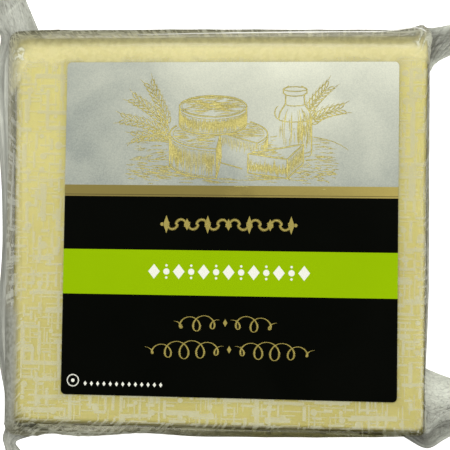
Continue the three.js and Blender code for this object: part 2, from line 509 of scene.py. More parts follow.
def threadLayer(tree, across, along, layer, seedShift):
    # strokes in lanes side by side, each lane broken into runs of uneven length and width
    lane, run, seed = layer["lane"], layer["run"], layer["seed"] + seedShift
    soft = 0.15  # mm over which an ink edge fades
    inLanes = reckon(tree, "DIVIDE", across, lane)
    laneIndex, laneShare = (reckon(tree, part, inLanes) for part in ("FLOOR", "FRACT"))
    laneKey = addNode(tree, "ShaderNodeCombineXYZ", {0: laneIndex, 1: seed}).outputs[0]
    laneDraw = addNode(tree, "ShaderNodeTexWhiteNoise", {"Vector": laneKey},
                       noise_dimensions="2D").outputs[0]
    inRuns = timesPlus(tree, along, 1 / run, times(tree, laneDraw, 17.0))
    runIndex, runShare = (reckon(tree, part, inRuns) for part in ("FLOOR", "FRACT"))
    runKey = addNode(tree, "ShaderNodeCombineXYZ", {0: laneIndex, 1: runIndex, 2: seed}).outputs[0]
    drawn = addNode(tree, "ShaderNodeTexWhiteNoise", {"Vector": runKey}, noise_dimensions="3D").outputs
    picks = addNode(tree, "ShaderNodeSeparateColor", {0: drawn["Color"]}).outputs
    # distance from the stroke's own centre line, which is off the lane's by up to a fifth
    offset = reckon(tree, "SUBTRACT", laneShare, ramp(tree, picks[1], low=0.3, high=0.7))
    distance = times(tree, reckon(tree, "ABSOLUTE", offset), lane)
    thin, wide = (w / 2 for w in layer["widths"])
    inside = reckon(tree, "SUBTRACT", ramp(tree, picks[0], low=thin, high=wide), distance)
    body = ramp(tree, inside, -soft, soft)
    # distance in from the run's nearer end, less a gap of its own
    fromMiddle = reckon(tree, "ABSOLUTE", reckon(tree, "SUBTRACT", runShare, 0.5))
    endIn = reckon(tree, "SUBTRACT", ramp(tree, picks[2], low=0.5, high=0.22), fromMiddle)
    ends = ramp(tree, endIn, 0.0, 2 * (soft / run))
    shown = reckon(tree, "LESS_THAN", drawn["Value"], layer["share"])
    return times(tree, times(tree, body, ends), shown)


def threadPrint(tree):
    # crossed threads and drops of white ink, on the film's own map
    mapped = filmPlace(tree)
    wobble = noise(tree, mapped, 0.12, 1.0)["Color"]
    bent = addNode(tree, "ShaderNodeVectorMath", {0: wobble, 1: (0.5, 0.5, 0.0), 2: mapped},
                   operation="MULTIPLY_ADD").outputs[0]
    # drops 1 to 2 mm across, some drawn out
    drops = addNode(tree, "ShaderNodeTexVoronoi", {"Vector": bent, "Scale": 0.27, "Randomness": 0.9},
                    voronoi_dimensions="2D").outputs
    picks = addNode(tree, "ShaderNodeSeparateColor", {0: drops["Color"]}).outputs
    size = ramp(tree, picks[0], 0.35, 1.0, 0.0, 0.3)
    ink = ramp(tree, reckon(tree, "SUBTRACT", size, drops["Distance"]), 0.0, 0.03)
    axes = addNode(tree, "ShaderNodeSeparateXYZ", {0: bent}).outputs
    for layer in threads:
        for across, along, shift in ((0, 1, 0.0), (1, 0, 31.0)):
            ink = larger(tree, ink, threadLayer(tree, axes[across], axes[along], layer, shift))
    return ink


def labelBorder(tree, axes):
    # 1 under the label's edge, fading to 0 a little way outside it, on the face alone
    beyond = []
    for axis, middle, size in zip((0, 1), label["centre"], (label["width"], label["height"])):
        fromMiddle = reckon(tree, "ABSOLUTE", reckon(tree, "SUBTRACT", axes[axis], middle * mm))
        beyond.append(reckon(tree, "SUBTRACT", fromMiddle, size / 2 * mm))
    near = ramp(tree, larger(tree, *beyond), 0.0, printed["labelStainReach"] * mm, 1.0, 0.0)
    return times(tree, near, ramp(tree, axes[2], 0.03, 0.034))


def printedFilmMaterial():
    material, tree = newMaterial("nylonPouchFilmPrinted")
    place, axes = objectPlace(tree)
    slack, hazed, paintedShadeField, glint, plain = (
        addNode(tree, "ShaderNodeAttribute", attribute_name=name).outputs["Fac"]
        for name in ("slack", "haze", "paintedShade", "puckerGlint", "plain"))
    wander = noise(tree, place, 210.0, 3.0)[0]
    dropStart, dropEnd, drop = (value * mm for value in printed["foldDrop"])
    upward = timesPlus(tree, wander, printed["foldWander"] * mm, axes[1])
    upward = reckon(tree, "ADD", upward, ramp(tree, axes[0], dropStart, dropEnd, drop, 0.0))
    doubledAndLit = ramp(tree, upward, *((printed["foldLine"] + more) * mm for more in printed["foldStarts"]))
    doubledAndLit = times(tree, doubledAndLit, restOf(tree, slack))
    # ink lies uneven, thinner in blots of about 1.5 mm; where the film is double only the blots show
    blots = noise(tree, place, 620.0, 2.0)[0]
    ink = times(tree, threadPrint(tree), restOf(tree, plain))
    ink = times(tree, ink, ramp(tree, blots, 0.35, 0.62, 0.78, 1.0))
    runTogether = times(tree, doubledAndLit, ramp(tree, blots, 0.4, 0.6, 0.75, 1.0))
    ink = timesPlus(tree, ink, restOf(tree, doubledAndLit), runTogether)
    # how much of what lies behind it the ink and the haze hide
    low = ramp(tree, axes[1], 0.03, -0.046)
    onFace = timesPlus(tree, low, printed["lowInk"], printed["faceInk"])
    inkShare = ramp(tree, slack, low=onFace, high=printed["slackInk"])
    inkShare = timesPlus(tree, doubledAndLit, printed["doubleInk"], inkShare)
    clearShare = restOf(tree, reckon(tree, "ADD", hazed, printed["faceHaze"]))
    seenThrough = times(tree, clearShare, restOf(tree, times(tree, ink, inkShare)))
    # the film is never quite flat: soft dents of about 5 mm and crinkles under 1 mm where it is slack
    dents = noise(tree, place, 160.0, 1.0)[0]
    crinkles = noise(tree, place, 900.0, 3.0)[0]
    bump = bumpOf(tree, timesPlus(tree, dents, 1.4, times(tree, crinkles, slack)), 0.2, 0.0004)
    tone = blend(tree, low, printed["inkColour"], printed["lowInkColour"])
    tone = blend(tree, slack, tone, printed["slackInkColour"])
    # the doubled strip's pale colour is a painted highlight
    tone = blend(tree, doubledAndLit, tone, printed["doubleInkAndHighlightColour"])
    tone = blend(tree, larger(tree, ink, doubledAndLit), printed["hazeColour"], tone)
    unprinted = blend(tree, ramp(tree, crinkles, 0.35, 0.65), *printed["plainColours"])
    tone = blend(tree, plain, tone, unprinted)
    # painted shade: where the film turns over the edge, and beside the label where it is pressed in, its
    # colour and what it lets through are darkened; ink that stands off the cheese keeps its colour, and the
    # gaps between its threads are painted dark
    beside = times(tree, labelBorder(tree, axes), printed["labelStain"])
    gaps = timesPlus(tree, times(tree, ink, slack), -0.65, 1.0)
    paintedShade = larger(tree, times(tree, paintedShadeField, gaps), beside)
    passing = blend(tree, paintedShade, "#ffffff", printed["paintedShade"])
    tone = blend(tree, 1.0, tone, passing, "MULTIPLY")
    # creases and puckers carry painted highlights, in pale flecks of about 0.7 mm
    flecks = ramp(tree, noise(tree, place, 1300.0, 2.0)[0], 0.36, 0.56, 0.25, 0.9)
    glint = reckon(tree, "MULTIPLY", glint, flecks, use_clamp=True)
    tone = blend(tree, glint, tone, printed["glintColour"])
    cover = larger(tree, times(tree, glint, 0.8), restOf(tree, seenThrough))
    solid = addNode(tree, "ShaderNodeBsdfPrincipled", {
        "Base Color": tone, "Roughness": 0.4, "Specular IOR Level": 0.25, "Normal": bump}).outputs[0]
    passed = addNode(tree, "ShaderNodeBsdfTransparent", {"Color": passing}).outputs[0]
    mirror = addNode(tree, "ShaderNodeBsdfGlossy", {
        "Color": (0.75, 0.75, 0.75, 1), "Roughness": 0.24, "Normal": bump}).outputs[0]
    # 4% shine face on, rising at a slant, and the same from both sides so that light gets in to the cheese
    slant = addNode(tree, "ShaderNodeLayerWeight", {"Blend": 0.5, "Normal": bump}).outputs["Facing"]
    shine = timesPlus(tree, reckon(tree, "POWER", slant, 5.0), 0.45, 0.04)
    setSurface(tree, mixShaders(tree, cover, mixShaders(tree, shine, passed, mirror), solid))
    return material


def outwardOf(edge):
    # the way each point of a closed edge faces, seen from above
    tangent = np.roll(edge, -1, axis=0) - np.roll(edge, 1, axis=0)
    outward = np.column_stack([tangent[:, 1], -tangent[:, 0]])
    return outward / np.linalg.norm(outward, axis=1, keepdims=True)


def mapFilm(skin, rows, row, column):
    # the print is laid out flat over the face, on down the sides, and afresh on the underside
    rings = film["rings"]
    edge = rows[rings["cap"]]
    steps = np.linalg.norm(np.diff(rows, axis=0), axis=2)
    steps[:rings["cap"]] = 0
    reach = np.concatenate([np.zeros((1, rows.shape[1])), np.cumsum(steps, axis=0)])
    over = edge[None, :, :2] + outwardOf(edge)[None] * reach[..., None]
    over[:rings["cap"]] = rows[:rings["cap"], :, :2]
    under = rows[..., :2] * np.array([-1, 1]) + np.array([400.0, 0.0])
    mesh = skin.data
    corners = np.array([loop.vertex_index for loop in mesh.loops])
    ofFace = np.repeat(np.arange(len(mesh.polygons)), [p.loop_total for p in mesh.polygons])
    highest = np.full(len(mesh.polygons), 10 ** 6)
    np.minimum.at(highest, ofFace, row[corners])
    beneath = highest[ofFace] >= rings["cap"] + rings["shoulder"] + rings["wall"]
    places = row[corners], column[corners]
    flat = np.where(beneath[:, None], under[places], over[places])
    layer = mesh.uv_layers.new(name="filmMap")
    layer.data.foreach_set("uv", (flat * mm).astype(np.float32).ravel())


puckers = [
    # x, y, how far round it the film is gathered, how deep, how strong its painted highlight, and how far
    # it is drawn out or in
    (-52.7, 46.8, 2.8, 0.3, 3.4, 0.0),
    (-52.6, 41.0, 3.4, 0.2, 1.2, 0.0),
    (-52.6, 36.5, 3.6, 0.15, 0.7, 0.0),
    (52.0, 51.2, 3.8, 0.35, 3.6, 0.3),
    (52.8, 47.6, 2.6, 0.3, 1.6, 0.0),
    (52.5, 55.0, 6.0, 0.12, 0.4, 1.0),
    (51.6, 44.0, 4.0, 0.15, 0.8, 0.0),
    (51.6, 39.0, 4.0, 0.15, 0.5, 0.0),
    (54.2, -36.0, 16.0, 0.0, 0.0, -0.9),
    (-48.5, -50.8, 5.0, 0.45, 1.5, 0.0),
    (-49.5, -54.0, 6.0, 0.1, 0.4, 0.5),
    (-43.5, -54.0, 5.0, 0.1, 0.2, -0.5),
    (-36.0, -52.6, 11.0, 0.3, 2.0, 0.2),
    (-18.0, -53.2, 11.0, 0.15, 1.0, -0.8),
    (-53.0, 40.0, 3.5, 0.2, 0.4, 0.0),
    (-44.0, 54.0, 8.0, 0.25, 0.5, 0.2),
    (50.2, -48.9, 3.6, 0.1, 1.2, 0.0),
    (46.0, -49.0, 3.2, 0.1, 0.8, 0.0),
    (52.0, -45.6, 3.0, 0.1, 0.8, 0.0),
]

# painted shade where the film folds in on itself: x, y, reach and how much
hollows = [(-54.4, 51.0, 4.6, 0.6), (-42.0, 55.0, 9.0, 0.3), (-52.8, -51.8, 3.6, 0.2)]

# the seal's film lies smooth and grey over this stretch of the left edge: x, and the lowest and highest y
plainStretch = {"edge": -53.0, "fade": 2.0, "low": -50.0, "high": -18.0, "end": 3.0, "haze": 0.85,
                "paintedShade": 0.065}

# along the foot of the pack the film is unprinted and nearly clear from here to the right, and takes nearly
# full painted shade for the shadowed side seen through it
clearStretch = {"from": -16.0, "fade": 28.0, "haze": 0.0, "paintedShade": 0.97}

toning = {
    "turned": 0.32,  # share of the way over the shoulder at which the painted shade is full
    # down the walls it hangs evenly milky with little painted shade, and takes its side's own haze and
    # painted shade above that
    "wallHaze": 0.7, "wallShade": 0.2, "wallTop": 23.0, "wallFade": 8.0,
    # along the top it is darkest where it stands off at the left: between which x, and how much at each
    "topShade": ((-10.0, 25.0), (0.46, 0.08)),
    # and along the foot, how far over the shoulder the unprinted film begins
    "bareFrom": ((27.0, 37.0), (0.32, 0.75)),
    "hollowShade": 0.65,
}


def filmRelief(rows, slackness):
    # how far the film stands out from its smooth shape, and the painted highlight where it is gathered
    x, y, z = rows[..., 0], rows[..., 1], rows[..., 2]
    rowCount, columnCount = x.shape
    depth = np.linspace(0, 1, rowCount)[:, None] * np.ones((1, columnCount))
    around = (np.arange(columnCount) / columnCount * math.tau)[None, :] * np.ones((rowCount, 1))
    ringX, ringY = 60 * np.cos(around), 60 * np.sin(around)
    loose = slackness ** 1.5
    # slow billows, and upright tucks where the sides pull in under vacuum
    billow = 0.22 * waves(ringX / 9, ringY / 9 + depth * 9, 7, 21)
    tucks = 0.13 * np.abs(waves(ringX / 2.2, ringY / 2.2 + depth * 6, 7, 22)) ** 0.7
    face = 0.03 * waves(x / 6, y / 6, 6, 23)
    relief = loose * (billow - tucks) + (1 - loose) * face
    # gathered corners, crumpled into short sharp ridges
    crumple = np.abs(waves(x / 0.34, y / 0.34 + z / 0.5, 8, 24)) ** 0.6 - 0.6
    onTop = np.arange(rowCount)[:, None] < film["rings"]["cap"] + film["rings"]["shoulder"] + 8
    glint = np.zeros_like(x)
    for px, py, reach, deep, glintStrength, drawn in puckers:
        patch = nearTo(x, y, px, py, reach / 2)
        near = patch * np.clip(slackness * 4, 0.4, 1)
        relief = relief + near * (deep * crumple * onTop + drawn * slackness)
        # a wide gather gets its painted highlight only off the face
        offFace = 1.0 if reach < 4 else np.clip(slackness * 2.5 - 0.9, 0.04, 1)
        glint = np.maximum(glint, patch * glintStrength * offFace * np.clip(0.55 - crumple, 0, 1) * onTop)
    return relief, glint


def filmTones(rows, slackness, edge, glint):
    # how milky the film is, and how much painted shade it takes, follows the side it is on and how far it
    # has turned over
    x, y, z = rows[..., 0], rows[..., 1], rows[..., 2]
    outward = outwardOf(edge)
    shares = np.array([np.clip(outward @ np.array(way), 0, 1) for way, _, _ in filmSides.values()])
    shares /= shares.sum(axis=0)
    bottom, _, top, _ = shares
    milkiness = np.array([haze for _, haze, _ in filmSides.values()]) @ shares
    shadeShare = np.array([paintedShade for _, _, paintedShade in filmSides.values()]) @ shares
    clear = np.clip((edge[:, 0] - clearStretch["from"]) / clearStretch["fade"], 0, 1) * bottom
    milkiness = milkiness * (1 - clear * (1 - clearStretch["haze"]))
    shadeShare = shadeShare + clear * (clearStretch["paintedShade"] - shadeShare)
    high = np.clip((z - toning["wallTop"]) / toning["wallFade"], 0, 1)
    milkiness = toning["wallHaze"] + (milkiness - toning["wallHaze"]) * high
    shadeShare = shadeShare * (toning["wallShade"] + (1 - toning["wallShade"]) * high)
    topShade = top * np.clip((slackness - 0.5) / 0.3, 0, 1) * np.interp(edge[:, 0], *toning["topShade"])
    turned = np.clip(slackness / toning["turned"], 0, 1) ** 0.85
    bare = clear * np.clip((slackness - np.interp(edge[:, 0], *toning["bareFrom"])) / 0.15, 0, 1)
    plain = (np.clip((plainStretch["edge"] - x) / plainStretch["fade"] + 1, 0, 1)
             * np.clip((plainStretch["high"] - y) / plainStretch["end"], 0, 1)
             * np.clip((y - plainStretch["low"]) / plainStretch["end"] + 1, 0, 1))
    wall = np.clip((slackness - 0.3) / 0.6, 0, 1)
    lower = np.clip((z - 12) / 14, 0.45, 1)
    hanging = wall ** (1 + 1.5 * bottom) * lower
    lit = np.ones_like(x)
    for px, py, reach, depth in hollows:
        lit = lit * (1 - depth * nearTo(x, y, px, py, reach / 2) * np.clip(slackness * 3, 0, 1))
    return {
        "slack": wall * lower,
        "haze": np.maximum(hanging * milkiness, plain * plainStretch["haze"]) * lit,
        "paintedShade": (np.maximum(turned * (shadeShare + topShade * high), plain * plainStretch["paintedShade"]) * lit
                  + toning["hollowShade"] * (1 - lit)),
        "puckerGlint": glint * lit ** 2,
        "plain": np.maximum(plain, bare * high),
    }


def makeFilm():
    smooth, slack = stackedOutlines(film)
    slackness = slack[:, None] * np.ones(smooth.shape[:2])
    relief, glint = filmRelief(smooth, slackness)
    rows = smooth + rowNormals(smooth) * relief[..., None]
    rows[..., 2] = np.clip(rows[..., 2], film["lowest"], film["faceHeight"] + 0.04)
    skin, row, column = sphereNet(*rows.shape[:2])
    setPoints(skin, rows[row, column])
    mapFilm(skin, rows, row, column)
    bpy.ops.object.shade_smooth()
    for name, field in filmTones(smooth, slackness, rows[film["rings"]["cap"]], glint).items():
        storeField(skin, name, field[row, column])
    skin.data.materials.append(printedFilmMaterial())
    settle(skin, "film_over_slab", "film", "sealed_bag")


makeFilm()


topSeam = {
    # the film's folded edge along the top, a glossy bead whose pale colour is a painted highlight along
    # that edge: x and y where it is seen at this height
    "path": [(-24.0, 52.6), (-3.0, 52.9), (7.4, 53.0), (28.2, 53.1), (41.0, 53.1), (45.6, 53.5),
             (48.1, 53.9), (49.9, 54.1), (51.7, 53.8), (52.8, 53.0)],
    "height": 31.3, "radius": 0.2, "lift": 0.1, "steps": 120, "colour": "#f2f2ea",
}


def makeSeam():
    clearSelection()
    skin = bpy.data.objects["film_over_slab"]
    eye = Vector(view["place"]) * mm
    count = topSeam["steps"]
    marks = np.linspace(0, 1, len(topSeam["path"]))
    path = [np.interp(np.linspace(0, 1, count), marks, axis) for axis in zip(*topSeam["path"])]
    line = []
    for k, (x, y) in enumerate(zip(*path)):
        # thin at both ends, and never quite even
        _, place, outward, _ = skin.ray_cast(eye, Vector((x * mm, y * mm, topSeam["height"] * mm)) - eye)
        ends = min(1, (k + 1) / 20, (count - k) / 8)
        width = (0.8 + 0.3 * math.sin(k * 0.31) * math.sin(k * 0.13)) * ends
        line.append((place + outward * topSeam["lift"] * mm, width))
    material, tree = newMaterial("nylonPouchFilmBeadHighlight")
    solid = addNode(tree, "ShaderNodeBsdfPrincipled", {"Base Color": topSeam["colour"], "Roughness": 0.25})
    setSurface(tree, solid.outputs[0])
    bead = tubes("film_top_seam_highlight", [line], topSeam["radius"], 2, material)
    bpy.ops.object.shade_smooth()
    settle(bead, "film_top_seam_highlight", "film", "sealed_bag")


makeSeam()
print("stage: film over the slab")


# Tails and ears of sealed film: sheets across a few rails, pleated along them

tails = {
    "film_tail_left": {
        "rails": [
            [(-54.6, -67, 12), (-56.0, -60.6, 13), (-57.2, -57.6, 14.5), (-52.5, -55.5, 16),
             (-47.0, -53.6, 17), (-52.5, -49, 18), (-55, -25, 21), (-55.2, 0, 21), (-55.4, 25, 21),
             (-55, 44, 20), (-50.6, 53.2, 18), (-52.3, 57.1, 18), (-56.2, 65.8, 18), (-59, 72.5, 18)],
            [(-57.3, -67, 13), (-58.6, -60.4, 14.5), (-59.2, -57.4, 15.5), (-58.8, -55, 16),
             (-57.6, -52, 17), (-57.8, -46, 17), (-60, -27, 18), (-59.6, 0, 18), (-60, 25, 18),
             (-60.6, 44, 19), (-58, 53.2, 20), (-59.5, 58, 20.5), (-62, 66, 20), (-63.5, 72.5, 19)],
            [(-60, -67, 12), (-60.9, -60.2, 12.5), (-61.9, -57, 12), (-61.2, -54, 12), (-60.2, -50.5, 12),
             (-62, -45, 10.5), (-65, -28, 9.5), (-64.0, -2, 9.5), (-65.0, 20, 10), (-67, 44, 13),
             (-63.3, 55, 17.5), (-66.5, 59.5, 17.5), (-68.5, 66, 17), (-68.5, 72.5, 16)],
        ],
        "pleats": 3, "creases": 9, "lean": 0.0, "drift": 5.0, "steps": (620, 80), "seed": 31,
        # painted light and shade on the facets: how pale the film is along its rails, and what is added
        # across them from the first to the last
        "alongTones": [0.45, 0.45, 0.4, 0.34, 0.36, 0.42, 0.49, 0.45, 0.59, 0.53, 0.42, 0.45, 0.39, 0.39],
        "acrossTones": [0.04, 0.02, 0.0, -0.06],
        # painted light and shade in spots: x, y, reach and what is added there
        "spots": [(-52.5, -54.6, 3.5, -0.36), (-58.6, -57.2, 2.0, 0.15), (-63.5, 33.0, 4.0, 0.15),
                  (-59.0, 53.0, 3.0, -0.14), (-62.0, 64.5, 2.0, -0.1), (-56.5, 60.0, 2.5, 0.06)],
        # where the film lies flat: x, y and reach
        "calm": [(-56.0, 66.0, 7.0)],
        # where the film is crinkled, with painted shade in short dark dashes: x, y, reach and how dark
        "dashes": [(-57.0, 66.0, 6.0, 0.3)],
        # welts from one x, y to another, with their width and height
        "welts": [(-57.2, 65.2, -61.0, 60.8, 0.5, 0.3), (-61.0, 52.0, -61.3, 36.0, 0.25, 0.35),
                  (-59.0, 60.0, -59.5, 54.0, 0.3, 0.15), (-57.3, 60.0, -57.6, 56.0, 0.3, 0.15)],
    },
    "film_tail_right": {
        "rails": [
            [(52, -44, 21), (52.2, -20, 21), (52.4, 10, 21), (52.4, 47, 21)],
            [(54, -44, 19), (54.5, -20, 19), (54.6, 10, 19), (54.5, 47, 19)],
            [(54.1, -43, 8), (54.9, -20, 7), (55, 10, 7), (54.9, 46, 8)],
        ],
        "pleats": 2, "creases": 6, "lean": 0.0, "drift": 5.0, "steps": (360, 40), "seed": 32,
        "alongTones": [0.65, 0.65], "acrossTones": [0.0, 0.0], "spots": [], "calm": [], "dashes": [],
        "welts": [],
    },
    "film_ear_top_right": {
        "rails": [
            [(50, 42.5, 19), (54.9, 44.8, 19), (56.7, 47.3, 19), (60.4, 49.4, 19), (65.5, 51.2, 18.5),
             (70.5, 52.6, 18)],
            [(50, 48, 23), (54.8, 50.4, 23), (57.8, 51.8, 22.5), (61, 52.8, 22), (65.8, 54.6, 21),
             (70.8, 56.2, 20)],
            [(46, 53, 23), (53, 56.4, 21), (57, 57.1, 20), (60.4, 57.7, 20), (65.8, 59.4, 19),
             (71, 61.4, 18)],
        ],
        "pleats": 4, "creases": 9, "lean": -1.7, "drift": 0.0, "steps": (160, 150), "seed": 33,
        "alongTones": [-0.32, -0.17, -0.06, 0.03, 0.05, 0.05],
        "acrossTones": [0.85, 0.72, 0.52, 0.4, 0.34, 0.32, 0.32, 0.34, 0.36, 0.56, 0.6],
        "spots": [(55.5, 49.0, 2.0, -0.06), (55.9, 47.0, 0.9, 0.3)], "calm": [], "dashes": [], "welts": [],
    },
    "film_ear_bottom_right": {
        "rails": [
            [(44, -49.4, 15), (50.2, -53.7, 14), (55.8, -56.2, 14), (60.8, -53.3, 14.5), (66, -50.2, 15),
             (71, -47.2, 16)],
            [(49, -46.5, 22), (52.6, -49.4, 22), (54.9, -50.8, 21.5), (58.2, -47.7, 21.2),
             (63.5, -46.3, 20.5), (71, -44.2, 19)],
            [(50, -40, 22), (53, -41.5, 22), (56.5, -42.4, 21.5), (61, -42.2, 21), (66, -41.4, 20),
             (71, -40.4, 19)],
            [(50, -32.6, 19), (54, -33.8, 19), (57, -35.1, 19), (61.2, -36.5, 19), (66, -37.6, 18.5),
             (71, -38.4, 18)],
        ],
        "pleats": 2, "creases": 14, "lean": 0.15, "drift": 2.0, "steps": (160, 240), "seed": 34,
        "alongTones": [-0.25, -0.22, -0.14, -0.12, -0.11, -0.1],
        # a sharp fold between its seventh and eighth value: painted shade below, painted light above
        "acrossTones": [0.76, 0.63, 0.48, 0.4, 0.36, 0.33, 0.32, 0.62, 0.54, 0.5, 0.5, 0.56, 0.66, 0.78,
                        0.86, 0.88, 0.88, 0.86, 0.84, 0.76],
        "spots": [(51.5, -52.5, 2.5, -0.1)], "calm": [(59.0, -40.0, 5.0)],
        "dashes": [(62.0, -40.0, 8.0, 0.2), (60.0, -46.0, 6.0, 0.22)],
        "welts": [(56.0, -42.6, 60.0, -44.2, 0.22, 0.2), (56.6, -43.8, 60.6, -45.2, 0.22, 0.2),
                  (55.5, -46.0, 58.0, -46.8, 0.2, 0.15), (58.2, -50.2, 57.8, -52.0, 0.14, 0.2),
                  (59.4, -49.6, 59.1, -51.6, 0.14, 0.2), (60.6, -49.0, 60.4, -51.0, 0.14, 0.2)],
    },
}

tailFilm = {
    "thickness": 0.14,
    "pleatDepth": 0.32,
    "creaseDepth": 0.17,
    "dark": "#4f4e40",
    "pale": "#ecefdf",
}


def padEnds(points):
    # one more point at either end, straight on
    return np.concatenate([[2 * points[0] - points[1]], points, [2 * points[-1] - points[-2]]])


def legOf(t, count):
    # which of count points comes before share t, and how far past it t lies
    place = np.clip(t, 0, 1) * (count - 1)
    first = np.minimum(place.astype(int), count - 2)
    return first, (place - first)[..., None]


def between(a, b, c, d, u):
    # the point at share u from b to c on a smooth line through all four
    return 0.5 * (2 * b + (c - a) * u + (2 * a - 5 * b + 4 * c - d) * u ** 2
                  + (3 * b - a - 3 * c + d) * u ** 3)


def smoothThrough(points, t):
    # a smooth line through points spaced evenly in t, with t from 0 to 1
    padded = padEnds(np.asarray(points, float))
    first, u = legOf(t, len(points))
    return between(*(padded[first + k] for k in range(4)), u)


def acrossRails(rails, t, w):
    # where the sheet lies at share t along its rails and w across them
    padded = padEnds(np.array([smoothThrough(rail, t) for rail in rails]))
    first, u = legOf(w, len(rails))
    index = np.arange(t.size)
    return between(*(padded[first + k, index] for k in range(4)), u)


def sealedFilmMaterial():
    # two films welded and crumpled: grey and milky, with painted light and shade: paler where only creased,
    # painted shade where it lies in folds
    material, tree = newMaterial("nylonPouchFilmSealed")
    mapped = filmPlace(tree)
    # creases run along the sheet, so the noise is drawn out that way: about 0.5 mm by 6 mm
    drawnOut = addNode(tree, "ShaderNodeMapping", {"Vector": mapped, "Scale": (0.16, 1.9, 1.0)}).outputs[0]
    creases = noise(tree, drawnOut, 1.0, 4.0, 0.6)[0]
    mottle = noise(tree, mapped, 0.5, 4.0, 0.65)[0]
    both = timesPlus(tree, mottle, 0.6, creases)
    # the sheet's painted light and shade, laid on by makeTail
    laid = addNode(tree, "ShaderNodeAttribute", attribute_name="tone").outputs["Fac"]
    tone = reckon(tree, "ADD", laid, ramp(tree, both, 0.55, 1.05, -0.16, 0.16))
    solid = addNode(tree, "ShaderNodeBsdfPrincipled", {
        "Base Color": blend(tree, tone, tailFilm["dark"], tailFilm["pale"]), "Roughness": 0.38,
        "Normal": bumpOf(tree, both, 0.6, 0.0004), "Specular IOR Level": 0.5}).outputs[0]
    passed = addNode(tree, "ShaderNodeBsdfTransparent", {"Color": "#ffffff"}).outputs[0]
    setSurface(tree, mixShaders(tree, 0.88, passed, solid))
    return material


def weltHeights(welts, x, y):
    # low rounded ridges along straight lines, lower towards their ends
    heights = np.zeros_like(x)
    for ax, ay, bx, by, wide, high in welts:
        dx, dy = bx - ax, by - ay
        share = np.clip(((x - ax) * dx + (y - ay) * dy) / (dx ** 2 + dy ** 2), 0, 1)
        away = np.hypot(x - ax - share * dx, y - ay - share * dy)
        tapered = 1 - 0.6 * np.abs(share * 2 - 1) ** 3
        heights = np.maximum(heights, high * np.exp(-(away / wide) ** 2) * tapered)
    return heights


def slope(rails, t, w, dt, dw):
    # which way the sheet runs there, over a small step along its rails or across them
    return (acrossRails(rails, np.minimum(t + dt, 1), np.minimum(w + dw, 1))
            - acrossRails(rails, np.maximum(t - dt, 0), np.maximum(w - dw, 0)))


def makeTail(name, tail, material):
    along, across = tail["steps"]
    clearSelection()
    bpy.ops.mesh.primitive_grid_add(x_subdivisions=along, y_subdivisions=across, size=1)
    sheet = bpy.context.object
    net = np.array([v.co for v in sheet.data.vertices])
    t, w = net[:, 0] + 0.5, net[:, 1] + 0.5
    rails = tail["rails"]
    flat = acrossRails(rails, t, w)
    x, y = flat[:, 0], flat[:, 1]
    nudge = 0.004
    normal = np.cross(slope(rails, t, w, nudge, 0), slope(rails, t, w, 0, nudge))
    normal /= np.linalg.norm(normal, axis=1, keepdims=True)
    # broad pleats as deep as the solid's, and sharp creases between them
    fade = np.sin(np.pi * w) ** 0.5 * np.minimum(1, 0.25 + t * (1 - t) * 6)
    length = np.linalg.norm(np.diff(smoothThrough(rails[0], np.linspace(0, 1, 200)), axis=0), axis=1).sum()
    slant = w + tail["lean"] * t
    pleat = tailFilm["pleatDepth"] * fade * np.sin(math.tau * tail["pleats"] * slant + tail["drift"] * t)
    # how close the creases, the fine ones and the dashes lie, how long they are in mm, and their seeds
    crease, fine, short = (
        np.abs(waves(slant * tail["creases"] * close, t * length / reach, 7, tail["seed"] + more))
        for close, reach, more in ((2.2, 16, 0), (6, 6, 50), (9, 0.6, 90)))
    relief = pleat - tailFilm["creaseDepth"] * (crease ** 0.6 + 0.35 * fine ** 0.6)
    lively = np.ones_like(x)
    for cx, cy, reach in tail["calm"]:
        lively = lively * (1 - 0.85 * nearTo(x, y, cx, cy, reach))
    welts = weltHeights(tail["welts"], x, y)
    upwards = np.sign(np.median(normal[:, 2]))
    setPoints(sheet, flat + normal * (relief * lively + upwards * welts)[:, None])
    firstEdge, lastEdge = (acrossRails(rails, t, np.full_like(w, edge)) for edge in (0, 1))
    width = np.linalg.norm(lastEdge - firstEdge, axis=1)
    layer = sheet.data.uv_layers.active
    layer.name = "filmMap"
    corners = np.array([loop.vertex_index for loop in sheet.data.loops])
    spread = np.column_stack([t * length + tail["seed"] * 40, (w - 0.5) * width])[corners]
    layer.data.foreach_set("uv", (spread * mm).astype(np.float32).ravel())
    # painted light and shade: each facet's paleness along and across its rails, and spots and dark dashes
    tone = sum(np.interp(share, np.linspace(0, 1, len(tail[key])), tail[key])
               for share, key in ((t, "alongTones"), (w, "acrossTones")))
    for cx, cy, reach, change in tail["spots"]:
        tone = tone + change * nearTo(x, y, cx, cy, reach)
    for cx, cy, reach, depth in tail["dashes"]:
        tone = tone + depth * (0.35 - np.clip(1 - short / 0.35, 0, 1)) * nearTo(x, y, cx, cy, reach)
    # painted shade in the creases and a painted highlight along the welts
    storeField(sheet, "tone", tone - 0.16 * (crease ** 0.6 - 0.7) * lively + 0.6 * welts)
    bpy.ops.object.shade_smooth()
    sheet.data.materials.append(material)
    thicken(sheet, tailFilm["thickness"], 0)
    settle(sheet, name, "film", "sealed_bag")


sealedFilm = sealedFilmMaterial()
for name, tail in tails.items():
    makeTail(name, tail, sealedFilm)
print("stage: tails and ears")


# Label: a coated paper sticker in flat bands, silver at the top

